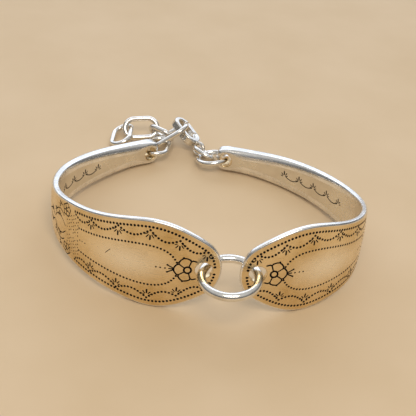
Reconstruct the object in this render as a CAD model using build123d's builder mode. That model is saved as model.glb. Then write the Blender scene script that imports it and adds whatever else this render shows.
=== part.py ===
"""Bracelet made of two bent spoon handles, a front ring, an extender chain and a lobster clasp.

The bracelet lies on its edge, as it does on a table: +Z is up, the paddle tips face -Y, and the
wrist goes in along Z. The origin is under the middle of the whole, on the surface it lies on.
Lengths are in millimetres and angles in degrees.
"""

import os
from math import atan2, cos, radians, sin, sqrt

from build123d import *

# Spoon handles
handle_length = 83.4
paddle_width = 19.0
paddle_wall = 1.15
stem_width = 5.1
stem_thickness = 3.0
face_crown = 0.4

# How far forward the two paddle tips stand, each in its handle's own plane, and the way they point
left_tip_y = -28.94
left_tip_heading = -13.6
right_tip_y = -29.98
right_tip_heading = 3.7

# Front ring, the angle at its centre between the two handles' holes, and those holes
ring_outer = 12.4
ring_wire = 1.7
ring_middle_x = 1.91
ring_spread = 140.6
tip_hole = 3.4
tip_hole_inset = 3.4

# Holes in the stems
stem_hole = 3.1
stem_hole_inset = 2.4

# Links that go through the stems
left_link_length = 9.8
left_link_width = 6.0
left_link_wire = 1.1
left_link_swing = 49.5
left_link_droop = -0.5
right_ring_outer = 8.0
right_ring_wire = 1.2
right_ring_droop = 10.4

# Extender chain
chain_wire = 1.3
long_link_length = 10.6
oval_link_length = 9.2
oval_link_width = 6.0
short_link_length = 7.2
short_link_width = 5.2

# Lobster clasp
clasp_length = 8.6
clasp_width = 5.2
clasp_thickness = 2.0
clasp_bar = 1.2
clasp_base = 1.65
clasp_round = 0.4
eyelet_outer = 3.6
eyelet_wire = 0.85
eyelet_root = 0.4
lever_pin = 0.8
lever_pin_inset = 1.9
lever_boss = 2.3
lever_boss_thickness = 1.1
lever_bar_thickness = 1.6
lever_reach = 4.6
lever_pin_edge = 0.95
lever_boss_gap = 0.2
cheek_past_pin = 0.8
thumb_knob_stand = 0.3
lever_clearance = 0.12
lever_pin_clearance = 0.08
lever_end_gap = 0.15
thumb_knob = 1.3
clasp_link_length = 6.4
clasp_link_width = 5.2
clasp_link_wire = 1.1

# Shape of a handle from paddle tip to stem end. Each row is a section: its place as a share of
# handle_length, its width as shares of paddle_width and stem_width added up, and how far its
# thickness has gone from paddle_wall to stem_thickness.
HANDLE_SECTIONS = [
    # along, of paddle, of stem, thickening
    (0.000, 0.18, 0.00, 0.00),
    (0.008, 0.35, 0.00, 0.00),
    (0.020, 0.49, 0.00, 0.00),
    (0.040, 0.63, 0.00, 0.00),
    (0.070, 0.78, 0.00, 0.00),
    (0.110, 0.93, 0.00, 0.00),
    (0.160, 1.00, 0.00, 0.00),
    (0.220, 0.94, 0.00, 0.00),
    (0.300, 0.76, 0.19, 0.00),
    (0.400, 0.58, 0.35, 0.04),
    (0.520, 0.36, 0.60, 0.20),
    (0.650, 0.20, 0.89, 0.52),
    (0.800, 0.07, 1.11, 0.92),
    (0.900, 0.00, 1.15, 1.08),
    (0.950, 0.00, 1.11, 1.09),
    (1.000, 0.00, 1.00, 1.00),
]
WIDEST = 0.160
BACK_HALF = 0.60
EDGE_ROUND_SHARE = 0.34

# Bends of the two handles from tip to stem, one tangent arc a row: its share of handle_length and
# the angle that each handle turns through in it.
BENDS = [
    # share, left turn, right turn
    (0.10, 13.0, 15.0),
    (0.14, 20.5, 20.5),
    (0.14, 27.0, 35.5),
    (0.14, 22.5, 35.0),
    (0.14, 38.5, 19.5),
    (0.14, 18.0, 20.0),
    (0.20, 23.0, 29.0),
]

# Route of the extender chain and the clasp: one chosen pose a piece, as the place of its centre,
# the way its long axis points and rises, and how far its flat is rolled about that axis.
CHAIN_ROUTE = {
    # name: x, y, z, heading, rise, roll
    "chain_link_1": (-14.61, 25.71, 3.30, 16.6, 33.1, 21.8),
    "chain_link_2": (-16.89, 27.93, 2.31, 153.0, 3.0, -58.7),
    "chain_link_3": (-22.03, 28.68, 2.73, -171.6, -5.0, 47.1),
    "chain_link_4": (-26.45, 26.43, 1.60, -89.6, 0.0, -24.5),
    "clasp_body": (-7.24, 23.72, 1.62, 132.2, 20.9, -25.3),
    "clasp_link": (-5.79, 21.77, 1.80, 148.4, 11.1, -34.3),
}


class Handle:
    """One bent handle: its plan curve, the tilt it rests at and the planes across it."""

    def __init__(self, tip_y, heading, turns, side):
        self.tip = (0, tip_y)
        self.heading = radians(heading)
        self.turns = [radians(turn) for turn in turns]
        self.side = side
        front = self.plan(WIDEST)[1]
        self.tilt = min(
            atan2(half_width(WIDEST) - half_width(row[0]), self.plan(row[0])[1] - front)
            for row in HANDLE_SECTIONS
            if row[0] > BACK_HALF
        )
        self.lift = front * sin(self.tilt) + half_width(WIDEST) * cos(self.tilt)
        hole_x = ring_middle_x + side * ring_radius * sin(radians(ring_spread / 2))
        self.tip = (hole_x - self.middle(tip_hole_along).origin.X, tip_y)

    def plan(self, along):
        """Place and heading of the outer face in the handle's own plane, at a share of its length."""
        x, y = self.tip
        heading = self.heading
        rest = along
        for (share, *_), turn in zip(BENDS, self.turns):
            radius = share * handle_length / turn
            swept = turn * min(rest, share) / share
            x += self.side * radius * (sin(heading + swept) - sin(heading))
            y += radius * (cos(heading) - cos(heading + swept))
            heading += swept
            rest -= share
            if rest <= 0:
                break
        return x, y, heading

    def plane(self, along):
        """Plane across the handle: X over its width, Y outward, Z along it toward the stem."""
        x, y, heading = self.plan(along)
        level = Vector(0, cos(self.tilt), -sin(self.tilt))
        across = Vector(0, sin(self.tilt), cos(self.tilt)) * self.side
        forward = Vector(1, 0, 0) * (self.side * cos(heading)) + level * sin(heading)
        origin = Vector(x, 0, self.lift) + level * y
        return Plane(origin=origin, x_dir=across, z_dir=forward)

    def middle(self, along):
        """The same plane with its origin in the middle of the wall."""
        plane = self.plane(along)
        plane.origin += plane.y_dir * ((crown(along) + hollow(along) - thickness(along)) / 2)
        return plane


def section(along):
    """Row of HANDLE_SECTIONS at a share of the length, blended between its neighbours."""
    for before, after in zip(HANDLE_SECTIONS, HANDLE_SECTIONS[1:]):
        if along <= after[0]:
            part = (along - before[0]) / (after[0] - before[0])
            return [low + part * (high - low) for low, high in zip(before, after)]
    return list(HANDLE_SECTIONS[-1])


def half_width(along):
    """Half the width of a handle at a share of its length."""
    _, of_paddle, of_stem, _ = section(along)
    return (of_paddle * paddle_width + of_stem * stem_width) / 2


def thickness(along):
    """Thickness of a handle at a share of its length."""
    return paddle_wall + section(along)[3] * (stem_thickness - paddle_wall)


def crown(along):
    """How far the face stands out in the middle, less where the handle is narrow."""
    return face_crown * sqrt(2 * half_width(along) / paddle_width)


def hollow(along):
    """How far the back face is hollowed in the middle: as the face on the paddle, flat on the stem."""
    return crown(along) * (1 - section(along)[3])


def spoon_handle(label, handle):
    """Flat paddle and thick stem in one piece, drilled near both ends."""
    with BuildPart() as blade:
        for along, *_ in HANDLE_SECTIONS:
            half = half_width(along)
            wall = thickness(along)
            dish = hollow(along)
            with BuildSketch(handle.plane(along)) as outline:
                with BuildLine():
                    ThreePointArc((-half, 0), (0, crown(along)), (half, 0))
                    Line((half, 0), (half, -wall))
                    if dish:
                        ThreePointArc((half, -wall), (0, dish - wall), (-half, -wall))
                    else:
                        Line((half, -wall), (-half, -wall))
                    Line((-half, -wall), (-half, 0))
                make_face()
                fillet(outline.vertices(), radius=EDGE_ROUND_SHARE * wall)
        loft()
        for along, bore in ((tip_hole_along, tip_hole), (stem_hole_along, stem_hole)):
            middle = handle.middle(along)
            with BuildSketch(Plane(origin=middle.origin, x_dir=middle.x_dir, z_dir=middle.y_dir)):
                Circle(bore / 2)
            extrude(amount=stem_thickness, both=True, mode=Mode.SUBTRACT)
    blade.part.label = label
    return blade


def wire_link(label, plane, length, width, wire):
    """Oval link of round wire lying in a plane, its long axis along the plane's X."""
    radius = (width - wire) / 2
    reach = (length - width) / 2
    with BuildPart() as link:
        with BuildLine(plane) as route:
            ahead = CenterArc((reach, 0), radius, -90, 180)
            behind = CenterArc((-reach, 0), radius, 90, 180)
            Line(ahead @ 1, behind @ 0)
            Line(behind @ 1, ahead @ 0)
        with BuildSketch(Plane(origin=ahead @ 0, z_dir=ahead % 0)):
            Circle(wire / 2)
        sweep(path=route.wires()[0])
    link.part.label = label
    return link


def wire_ring(label, plane, outer, wire):
    """Round ring of round wire lying in a plane."""
    with BuildPart() as ring:
        with Locations(plane):
            Torus((outer - wire) / 2, wire / 2)
    ring.part.label = label
    return ring


def front_ring_plane():
    """Plane of the ring: it holds the middles of both tip holes and reaches straight ahead."""
    left = left_side.middle(tip_hole_along).origin
    right = right_side.middle(tip_hole_along).origin
    chord = right - left
    normal = chord.cross(Vector(0, -1, 0)).normalized()
    ahead = normal.cross(chord).normalized()
    centre = (left + right) / 2 + ahead * sqrt(ring_radius**2 - (chord.length / 2) ** 2)
    return Plane(origin=centre, x_dir=chord, z_dir=normal)


def stem_link_plane(handle, outer_width, wire, droop, swing, reach):
    """Plane of a link hung in a stem's hole: it droops past the end and swings outward."""
    stem = handle.middle(stem_hole_along)
    up = stem.x_dir * handle.side
    ahead = stem.z_dir * cos(radians(droop)) - up * sin(radians(droop))
    normal = up * cos(radians(droop)) + stem.z_dir * sin(radians(droop))
    axis = ahead * cos(radians(swing)) + stem.y_dir * sin(radians(swing))
    centre = stem.origin + ahead * ((outer_width - wire) / 2) + axis * reach
    return Plane(origin=centre, x_dir=axis, z_dir=normal)


def route_plane(name):
    """Plane of a piece of CHAIN_ROUTE."""
    x, y, z, heading, rise, roll = CHAIN_ROUTE[name]
    heading, rise, roll = radians(heading), radians(rise), radians(roll)
    axis = Vector(cos(heading) * cos(rise), sin(heading) * cos(rise), sin(rise))
    sideways = Vector(-sin(heading), cos(heading), 0)
    normal = axis.cross(sideways) * cos(roll) + sideways * sin(roll)
    return Plane(origin=(x, y, z), x_dir=axis, z_dir=normal)


def clasp_level(plane, thick):
    """Plane at the lower face of a slab laid in the middle of the clasp's thickness."""
    return plane.offset(-thick / 2)


def clasp_claw(plane):
    """Claw with its eyelet, the two cheeks that hold the lever and the pin between them."""
    pivot = (pin_x, pin_y)
    cheek_slot = lever_boss_thickness + 2 * lever_clearance
    with BuildPart() as claw:
        with BuildSketch(clasp_level(plane, clasp_thickness)):
            with Locations((hook_start + clasp_length / 2, 0)):
                SlotOverall(clasp_length, clasp_width)
            with Locations((hook_start + clasp_base + opening_length / 2, 0)):
                SlotOverall(opening_length, opening_width, mode=Mode.SUBTRACT)
        extrude(amount=clasp_thickness)
        fillet(claw.edges(), radius=clasp_round)
        with BuildSketch(clasp_level(plane, cheek_slot)):
            with Locations(pivot):
                Circle(lever_boss / 2 + lever_boss_gap)
        extrude(amount=cheek_slot, mode=Mode.SUBTRACT)
        with BuildSketch(clasp_level(plane, clasp_thickness)):
            with Locations(pivot):
                Circle(lever_reach + lever_end_gap)
            with Locations((pin_x + cheek_past_pin, -opening_width / 4)):
                Rectangle(clasp_length, clasp_width, align=(Align.MIN, Align.MAX), mode=Mode.INTERSECT)
        extrude(amount=clasp_thickness, mode=Mode.SUBTRACT)
        with BuildSketch(clasp_level(plane, cheek_slot)):
            with Locations(pivot):
                Circle(lever_pin / 2)
        extrude(amount=cheek_slot)
        with Locations(Plane(origin=plane.origin, x_dir=plane.x_dir, z_dir=plane.y_dir)):
            Torus((eyelet_outer - eyelet_wire) / 2, eyelet_wire / 2)
    claw.part.label = "clasp_body"
    return claw


def clasp_trigger(plane):
    """Lever that shuts the claw, with the ball that a thumb pushes."""
    pivot = (pin_x, pin_y)
    with BuildPart() as lever:
        with BuildSketch(clasp_level(plane, lever_boss_thickness)):
            with Locations(pivot):
                Circle(lever_boss / 2)
        extrude(amount=lever_boss_thickness)
        for inner, thick in ((0, lever_boss_thickness), (lever_shoulder, lever_bar_thickness)):
            with BuildSketch(clasp_level(plane, thick)):
                with Locations(pivot):
                    Circle(lever_reach)
                    if inner:
                        Circle(inner, mode=Mode.SUBTRACT)
                with Locations((pin_x, -clasp_width / 2)):
                    Rectangle(
                        clasp_length, clasp_bar, align=(Align.MIN, Align.MIN), mode=Mode.INTERSECT
                    )
            extrude(amount=thick)
        with BuildSketch(clasp_level(plane, lever_boss_thickness)):
            with Locations(pivot):
                Circle(lever_pin / 2 + lever_pin_clearance)
        extrude(amount=lever_boss_thickness, mode=Mode.SUBTRACT)
        knob = plane.origin + plane.x_dir * (pin_x + lever_reach - thumb_knob)
        knob -= plane.y_dir * (clasp_width / 2 + thumb_knob_stand)
        with Locations(knob):
            Sphere(thumb_knob / 2)
    lever.part.label = "clasp_lever"
    return lever


# Places on the ring, along a handle and in the clasp that several pieces share
ring_radius = (ring_outer - ring_wire) / 2
tip_hole_along = tip_hole_inset / handle_length
stem_hole_along = 1 - stem_hole_inset / handle_length
hook_start = eyelet_outer / 2 - eyelet_root
opening_length = clasp_length - clasp_base - clasp_bar
opening_width = clasp_width - 2 * clasp_bar
pin_x = hook_start + lever_pin_inset
pin_y = lever_pin_edge - clasp_width / 2
lever_shoulder = lever_boss / 2 + lever_boss_gap + lever_clearance

left_turns = [row[1] for row in BENDS]
right_turns = [row[2] for row in BENDS]
left_side = Handle(left_tip_y, left_tip_heading, left_turns, -1)
right_side = Handle(right_tip_y, right_tip_heading, right_turns, 1)

front_ring = wire_ring("front_ring", front_ring_plane(), ring_outer, ring_wire)
left_link_reach = (left_link_length - left_link_width) / 2
left_link_place = stem_link_plane(
    left_side, left_link_width, left_link_wire, left_link_droop, left_link_swing, left_link_reach
)
right_ring_place = stem_link_plane(
    right_side, right_ring_outer, right_ring_wire, right_ring_droop, 0, 0
)
chain_links = [
    ("chain_link_1", long_link_length, oval_link_width),
    ("chain_link_2", short_link_length, short_link_width),
    ("chain_link_3", oval_link_length, oval_link_width),
    ("chain_link_4", oval_link_length, oval_link_width),
]
clasp_place = route_plane("clasp_body")

pieces = [
    spoon_handle("left_handle", left_side),
    spoon_handle("right_handle", right_side),
    front_ring,
    wire_link(
        "left_stem_link", left_link_place, left_link_length, left_link_width, left_link_wire
    ),
    wire_ring("right_stem_ring", right_ring_place, right_ring_outer, right_ring_wire),
    clasp_claw(clasp_place),
    clasp_trigger(clasp_place),
    wire_link(
        "clasp_link", route_plane("clasp_link"), clasp_link_length, clasp_link_width, clasp_link_wire
    ),
]
for name, length, width in chain_links:
    pieces.append(wire_link(name, route_plane(name), length, width, chain_wire))

# The origin goes under the middle of the whole, on the surface
boxes = [piece.part.bounding_box() for piece in pieces]
middle_x = (min(box.min.X for box in boxes) + max(box.max.X for box in boxes)) / 2
middle_y = (min(box.min.Y for box in boxes) + max(box.max.Y for box in boxes)) / 2
bottom = min(box.min.Z for box in boxes)

os.makedirs("parts", exist_ok=True)
for piece in pieces:
    piece.part.move(Location((-middle_x, -middle_y, -bottom)))
    export_step(piece.part, f"parts/{piece.part.label}.step")
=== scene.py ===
"""Looks of the spoon handle bracelet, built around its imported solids.

The two handles are rebuilt as smooth engraved plate over their solids. The ring, the links and the
clasp keep their solids' shapes and get the finish of polished wire and castings. Sizes are in
millimetres until a mesh is made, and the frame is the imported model's.
"""

from __future__ import annotations

import logging
import math
from dataclasses import dataclass, field
from enum import Enum

import bpy
import numpy as np
from mathutils import Matrix, Vector
from mathutils.geometry import delaunay_2d_cdt

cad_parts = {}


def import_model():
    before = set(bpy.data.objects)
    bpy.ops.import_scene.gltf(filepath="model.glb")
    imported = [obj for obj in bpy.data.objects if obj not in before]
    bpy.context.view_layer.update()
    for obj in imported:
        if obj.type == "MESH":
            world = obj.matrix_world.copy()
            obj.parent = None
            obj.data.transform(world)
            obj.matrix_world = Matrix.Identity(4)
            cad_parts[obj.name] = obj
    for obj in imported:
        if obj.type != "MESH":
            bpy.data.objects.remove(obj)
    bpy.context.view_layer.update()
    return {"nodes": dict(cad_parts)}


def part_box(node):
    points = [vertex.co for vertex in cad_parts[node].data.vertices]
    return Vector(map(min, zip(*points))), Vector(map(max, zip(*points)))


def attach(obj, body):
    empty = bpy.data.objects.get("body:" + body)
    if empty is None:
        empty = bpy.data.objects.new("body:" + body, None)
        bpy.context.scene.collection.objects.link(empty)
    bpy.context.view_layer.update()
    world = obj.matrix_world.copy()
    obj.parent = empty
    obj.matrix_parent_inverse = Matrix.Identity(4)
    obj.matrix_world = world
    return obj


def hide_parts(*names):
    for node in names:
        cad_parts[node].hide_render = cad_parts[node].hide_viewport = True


LOG = logging.getLogger("bracelet")
MM = 0.001
IMAGE_PIXELS = 416
# Name of the point values that say how strongly the painted highlight, a pale sheen, lies on the plate
PAINTED_SHEEN = "painted_sheen"
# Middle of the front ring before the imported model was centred, in millimetres
RING_MIDDLE = (1.9141, -30.84, 9.5936)


class Side(Enum):
    """Which way a handle bends round the wrist, seen from the front."""

    LEFT = -1
    RIGHT = 1


class Face(Enum):
    """The two broad faces of a handle."""

    OUTER = "outer"
    INNER = "inner"


class Skin(Enum):
    """Material slots of a handle's mesh."""

    PLATE = 0
    RECESS = 1
    WRIST = 2
    RIM = 3


def linear_colour(code: str) -> tuple[float, float, float, float]:
    """Turns an sRGB hex colour into a linear one.

    Args:
        code: six hex digits.

    Returns:
        Linear red, green, blue and an alpha of one.
    """
    parts = [int(code[i : i + 2], 16) / 255 for i in (0, 2, 4)]
    line = [c / 12.92 if c <= 0.04045 else ((c + 0.055) / 1.055) ** 2.4 for c in parts]
    return (line[0], line[1], line[2], 1.0)


def put_node(
    tree: bpy.types.NodeTree,
    kind: str,
    settings: dict[str, object] | None = None,
    values: dict[str, object] | None = None,
    links: dict[str, bpy.types.NodeSocket] | None = None,
) -> bpy.types.Node:
    """Adds one shader node.

    Args:
        tree: the node tree that it goes into.
        kind: the node's type name.
        settings: attributes of the node itself.
        values: numbers or colours of its inputs, by name or place.
        links: outputs of other nodes that go into its inputs, by name or place.

    Returns:
        The new node.
    """
    node = tree.nodes.new(kind)
    for key, value in (settings or {}).items():
        setattr(node, key, value)
    for key, value in (values or {}).items():
        node.inputs[key].default_value = value
    for key, source in (links or {}).items():
        tree.links.new(source, node.inputs[key])
    return node


def ramp_stops(node: bpy.types.Node, stops: list[tuple[float, tuple[float, float, float, float]]]) -> None:
    """Sets the stops of a colour ramp.

    Args:
        node: the ramp.
        stops: place and colour of each stop, in order.
    """
    ramp = node.color_ramp
    while len(ramp.elements) < len(stops):
        ramp.elements.new(0.5)
    for element, (place, colour) in zip(ramp.elements, stops):
        element.position = place
        element.color = colour


def start_material(name: str) -> tuple[bpy.types.Material, bpy.types.Node, bpy.types.NodeSocket]:
    """Starts a node material.

    Args:
        name: its name.

    Returns:
        The material, its shader, and the coordinates on the object.
    """
    material = bpy.data.materials.new(name)
    material.use_nodes = True
    tree = material.node_tree
    place = put_node(tree, "ShaderNodeTexCoord").outputs["Object"]
    return material, tree.nodes["Principled BSDF"], place


@dataclass(frozen=True)
class SilverFinish:
    """Silver plate or polished wire, handled until fine scratches dull it a little."""

    name: str
    bright: str
    dull: str
    roughness: float
    worn_roughness: float
    cloud_mm: float
    dimple_mm: float
    dimple_depth: float
    scratch_mm: float = 0.5
    scratch_depth: float = 0.004
    # Colour of a painted highlight that the point values mix in; none where empty
    painted_sheen: str = ""

    # Readings of the cloud noise where the colour is dull and bright, and the surface worn and smooth
    TONE_STOPS = (0.34, 0.62)
    WEAR_STOPS = (0.35, 0.75)
    # Readings of the drawn-out noise where a hair scratch starts and is full, and how they lie
    HAIR_STOPS = (0.64, 0.70)
    HAIR_TURNS = ((0.3, 0.2, 0.5), (1.1, 0.7, -0.6), (-0.5, 1.3, 1.4))
    HAIR_DRAW = (0.06, 1.0, 1.0)
    HAIR_ROUGHNESS = 0.12

    def material(self) -> bpy.types.Material:
        """Makes the node material.

        Returns:
            The material.
        """
        material, shader, place = start_material(self.name)
        tree = material.node_tree
        shader.inputs["Metallic"].default_value = 1.0
        cloud = put_node(
            tree,
            "ShaderNodeTexNoise",
            values={"Scale": 1000 / self.cloud_mm, "Detail": 5.0, "Roughness": 0.6},
            links={"Vector": place},
        ).outputs["Fac"]
        tone = put_node(tree, "ShaderNodeValToRGB", links={"Fac": cloud})
        low, high = self.TONE_STOPS
        ramp_stops(tone, [(low, linear_colour(self.dull)), (high, linear_colour(self.bright))])
        colour = tone.outputs["Color"]
        # Painted highlight: the colour is mixed toward a pale one as far as the point values say
        if self.painted_sheen:
            share = put_node(tree, "ShaderNodeAttribute", {"attribute_name": PAINTED_SHEEN}).outputs["Fac"]
            # Places 6 and 7 are the two colours, and place 2 is their mix
            mix = put_node(
                tree,
                "ShaderNodeMix",
                settings={"data_type": "RGBA"},
                values={7: linear_colour(self.painted_sheen)},
                links={0: share, 6: colour},
            )
            colour = mix.outputs[2]
        tree.links.new(colour, shader.inputs["Base Color"])
        hairs = self._hairs(tree, place)
        rough = put_node(
            tree,
            "ShaderNodeMapRange",
            values={
                "From Min": self.WEAR_STOPS[0],
                "From Max": self.WEAR_STOPS[1],
                "To Min": self.worn_roughness,
                "To Max": self.roughness,
            },
            links={"Value": cloud},
        )
        scratched = put_node(
            tree,
            "ShaderNodeMath",
            settings={"operation": "MULTIPLY_ADD"},
            values={1: self.HAIR_ROUGHNESS},
            links={0: hairs, 2: rough.outputs[0]},
        )
        tree.links.new(scratched.outputs[0], shader.inputs["Roughness"])
        dimples = put_node(
            tree,
            "ShaderNodeTexNoise",
            values={"Scale": 1000 / self.dimple_mm, "Detail": 2.0},
            links={"Vector": place},
        )
        wave = put_node(
            tree,
            "ShaderNodeBump",
            values={"Strength": 1.0, "Distance": self.dimple_depth * MM},
            links={"Height": dimples.outputs["Fac"]},
        )
        bump = put_node(
            tree,
            "ShaderNodeBump",
            settings={"invert": True},
            values={"Strength": 1.0, "Distance": self.scratch_depth * MM},
            links={"Height": hairs, "Normal": wave.outputs["Normal"]},
        )
        tree.links.new(bump.outputs["Normal"], shader.inputs["Normal"])
        return material

    def _hairs(self, tree: bpy.types.NodeTree, place: bpy.types.NodeSocket) -> bpy.types.NodeSocket:
        """Hair scratches in three directions: noise drawn out along each, cut to thin lines.

        Args:
            tree: the material's nodes.
            place: coordinates on the surface.

        Returns:
            A mask, one on a scratch and nought between.
        """
        total: bpy.types.NodeSocket | None = None
        for turn in self.HAIR_TURNS:
            aim = put_node(
                tree,
                "ShaderNodeMapping",
                values={"Rotation": turn, "Scale": self.HAIR_DRAW},
                links={"Vector": place},
            )
            lines = put_node(
                tree,
                "ShaderNodeTexNoise",
                values={"Scale": 1000 / self.scratch_mm, "Detail": 1.0},
                links={"Vector": aim.outputs[0]},
            )
            thin = put_node(
                tree,
                "ShaderNodeMapRange",
                values={"From Min": self.HAIR_STOPS[0], "From Max": self.HAIR_STOPS[1]},
                links={"Value": lines.outputs["Fac"]},
            ).outputs[0]
            if total is None:
                total = thin
            else:
                joined = put_node(
                    tree, "ShaderNodeMath", {"operation": "MAXIMUM"}, links={0: total, 1: thin}
                )
                total = joined.outputs[0]
        return total


@dataclass(frozen=True)
class OxideFinish:
    """Blackened silver sulphide left in cuts that polishing doesn't reach."""

    name: str
    dark: str
    light: str
    roughness: float
    specular: float
    grain_mm: float

    TONE_STOPS = (0.40, 0.72)

    def material(self) -> bpy.types.Material:
        """Makes the node material.

        Returns:
            The material.
        """
        material, shader, place = start_material(self.name)
        tree = material.node_tree
        shader.inputs["Metallic"].default_value = 0.0
        shader.inputs["Specular IOR Level"].default_value = self.specular
        shader.inputs["Roughness"].default_value = self.roughness
        grain = put_node(
            tree,
            "ShaderNodeTexNoise",
            values={"Scale": 1000 / self.grain_mm, "Detail": 4.0},
            links={"Vector": place},
        )
        tone = put_node(tree, "ShaderNodeValToRGB", links={"Fac": grain.outputs["Fac"]})
        low, high = self.TONE_STOPS
        ramp_stops(tone, [(low, linear_colour(self.dark)), (high, linear_colour(self.light))])
        tree.links.new(tone.outputs["Color"], shader.inputs["Base Color"])
        return material


# Silver plate with the first golden bloom of tarnish: a soft warm mirror with cloudy patches,
# and a painted highlight, a pale sheen, over the plain middle of the paddle
WORN_PLATE = SilverFinish(
    name="worn_silver_plate_golden_bloom_painted_sheen",
    bright="EFDAB3",
    dull="D8BC88",
    roughness=0.15,
    worn_roughness=0.25,
    cloud_mm=7.0,
    dimple_mm=5.0,
    dimple_depth=0.03,
    # Colour of the painted highlight, a pale sheen, in the plain middle
    painted_sheen="FCF4E4",
)
# The same plate where it rubs on the wrist: duller, greyer and more scratched
WRIST_PLATE = SilverFinish(
    name="wrist_side_silver_plate_rubbed",
    bright="E9E3D7",
    dull="D9D0C1",
    roughness=0.22,
    worn_roughness=0.32,
    cloud_mm=9.0,
    dimple_mm=6.0,
    dimple_depth=0.03,
    scratch_depth=0.008,
)
# The rounded rim, rubbed clean by sleeves and cloths: whiter and glossier than the faces
RUBBED_RIM = SilverFinish(
    name="silver_plate_rim_rubbed_bright",
    bright="F5F4F2",
    dull="E0DEDA",
    roughness=0.13,
    worn_roughness=0.22,
    cloud_mm=4.0,
    dimple_mm=5.0,
    dimple_depth=0.02,
    scratch_depth=0.003,
)
# Silver-plated brass wire, drawn and tumbled: a clean bright mirror
BRIGHT_WIRE = SilverFinish(
    name="silver_plated_wire_drawn",
    bright="F4F2EE",
    dull="DCD8D1",
    roughness=0.09,
    worn_roughness=0.17,
    cloud_mm=2.5,
    dimple_mm=3.0,
    dimple_depth=0.015,
    scratch_mm=0.4,
)
# Silver-plated zinc, cast and tumbled: a mirror with soft uneven patches
CAST_CLASP = SilverFinish(
    name="silver_plated_casting_tumbled",
    bright="EDEAE4",
    dull="CFC9BF",
    roughness=0.14,
    worn_roughness=0.24,
    cloud_mm=1.8,
    dimple_mm=1.2,
    dimple_depth=0.015,
    scratch_mm=0.4,
)
# Sulphide in the engraving: matt brown-black, so the pattern reads dark on the plate
OXIDE = OxideFinish(
    name="blackened_engraving_oxidised",
    dark="030202",
    light="120D09",
    roughness=0.8,
    specular=0.2,
    grain_mm=0.25,
)


@dataclass(frozen=True)
class Cut:
    """One engraved cut on the flattened handle: a run with round ends, or a dot where it has no length."""

    x0: float
    a0: float
    x1: float
    a1: float
    width: float

    def mirrored(self) -> "Cut":
        """The same cut on the other side of the handle's midline."""
        return Cut(self.x0, -self.a0, self.x1, -self.a1, self.width)


# A stray scratch across the left paddle's plain middle
STRAY_SCRATCH = Cut(21.5, 1.35, 22.5, 0.20, 0.13)


def natural_spline(knots: np.ndarray, values: np.ndarray, at: np.ndarray) -> np.ndarray:
    """Smooth curve through points, straight at its two ends.

    Args:
        knots: places of the points, rising.
        values: value at each point.
        at: places to read.

    Returns:
        The curve's value at each place.
    """
    gap = np.diff(knots)
    count = len(knots)
    system = np.eye(count)
    right = np.zeros(count)
    for i in range(1, count - 1):
        system[i, i - 1 : i + 2] = gap[i - 1], 2 * (gap[i - 1] + gap[i]), gap[i]
        right[i] = 6 * (
            (values[i + 1] - values[i]) / gap[i] - (values[i] - values[i - 1]) / gap[i - 1]
        )
    bend = np.linalg.solve(system, right)
    at = np.clip(at, knots[0], knots[-1])
    k = np.clip(np.searchsorted(knots, at, side="right") - 1, 0, count - 2)
    low, high = knots[k + 1] - at, at - knots[k]
    return (
        (bend[k] * low**3 + bend[k + 1] * high**3) / (6 * gap[k])
        + (values[k] / gap[k] - bend[k] * gap[k] / 6) * low
        + (values[k + 1] / gap[k] - bend[k + 1] * gap[k] / 6) * high
    )


def even_points(path: np.ndarray, step: float, closed: bool = False) -> np.ndarray:
    """Points at even distances along a run of points.

    Args:
        path: the run, one point a row.
        step: distance wanted between points.
        closed: whether the run goes back to its start.

    Returns:
        The new points, without a repeated last one where the run is closed.
    """
    if closed:
        path = np.vstack([path, path[:1]])
    walked = np.concatenate([[0], np.cumsum(np.linalg.norm(np.diff(path, axis=0), axis=1))])
    count = max(2, round(walked[-1] / step))
    goal = np.linspace(0, walked[-1], count + 1)
    points = np.stack([np.interp(goal, walked, path[:, i]) for i in (0, 1)], 1)
    return points[:-1] if closed else points


def rounded_curve(points: list[tuple[float, float]], closed: bool = False) -> np.ndarray:
    """Smooth curve through a few points of a plane, in fine steps.

    Args:
        points: the points in order.
        closed: whether the curve goes back to its start.

    Returns:
        Points along the curve.
    """
    base = np.array(points, float)
    if closed:
        base = np.vstack([base[-3:], base, base[:3]])
    reach = np.sqrt(np.linalg.norm(np.diff(base, axis=0), axis=1))
    knots = np.concatenate([[0], np.cumsum(reach)])
    start, stop = (knots[3], knots[-3]) if closed else (knots[0], knots[-1])
    goal = np.linspace(start, stop, 24 * len(base), endpoint=not closed)
    return np.stack([natural_spline(knots, base[:, i], goal) for i in (0, 1)], 1)


def unit(vectors: np.ndarray) -> np.ndarray:
    """Vectors scaled to length one."""
    return vectors / np.linalg.norm(vectors, axis=-1, keepdims=True)


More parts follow.
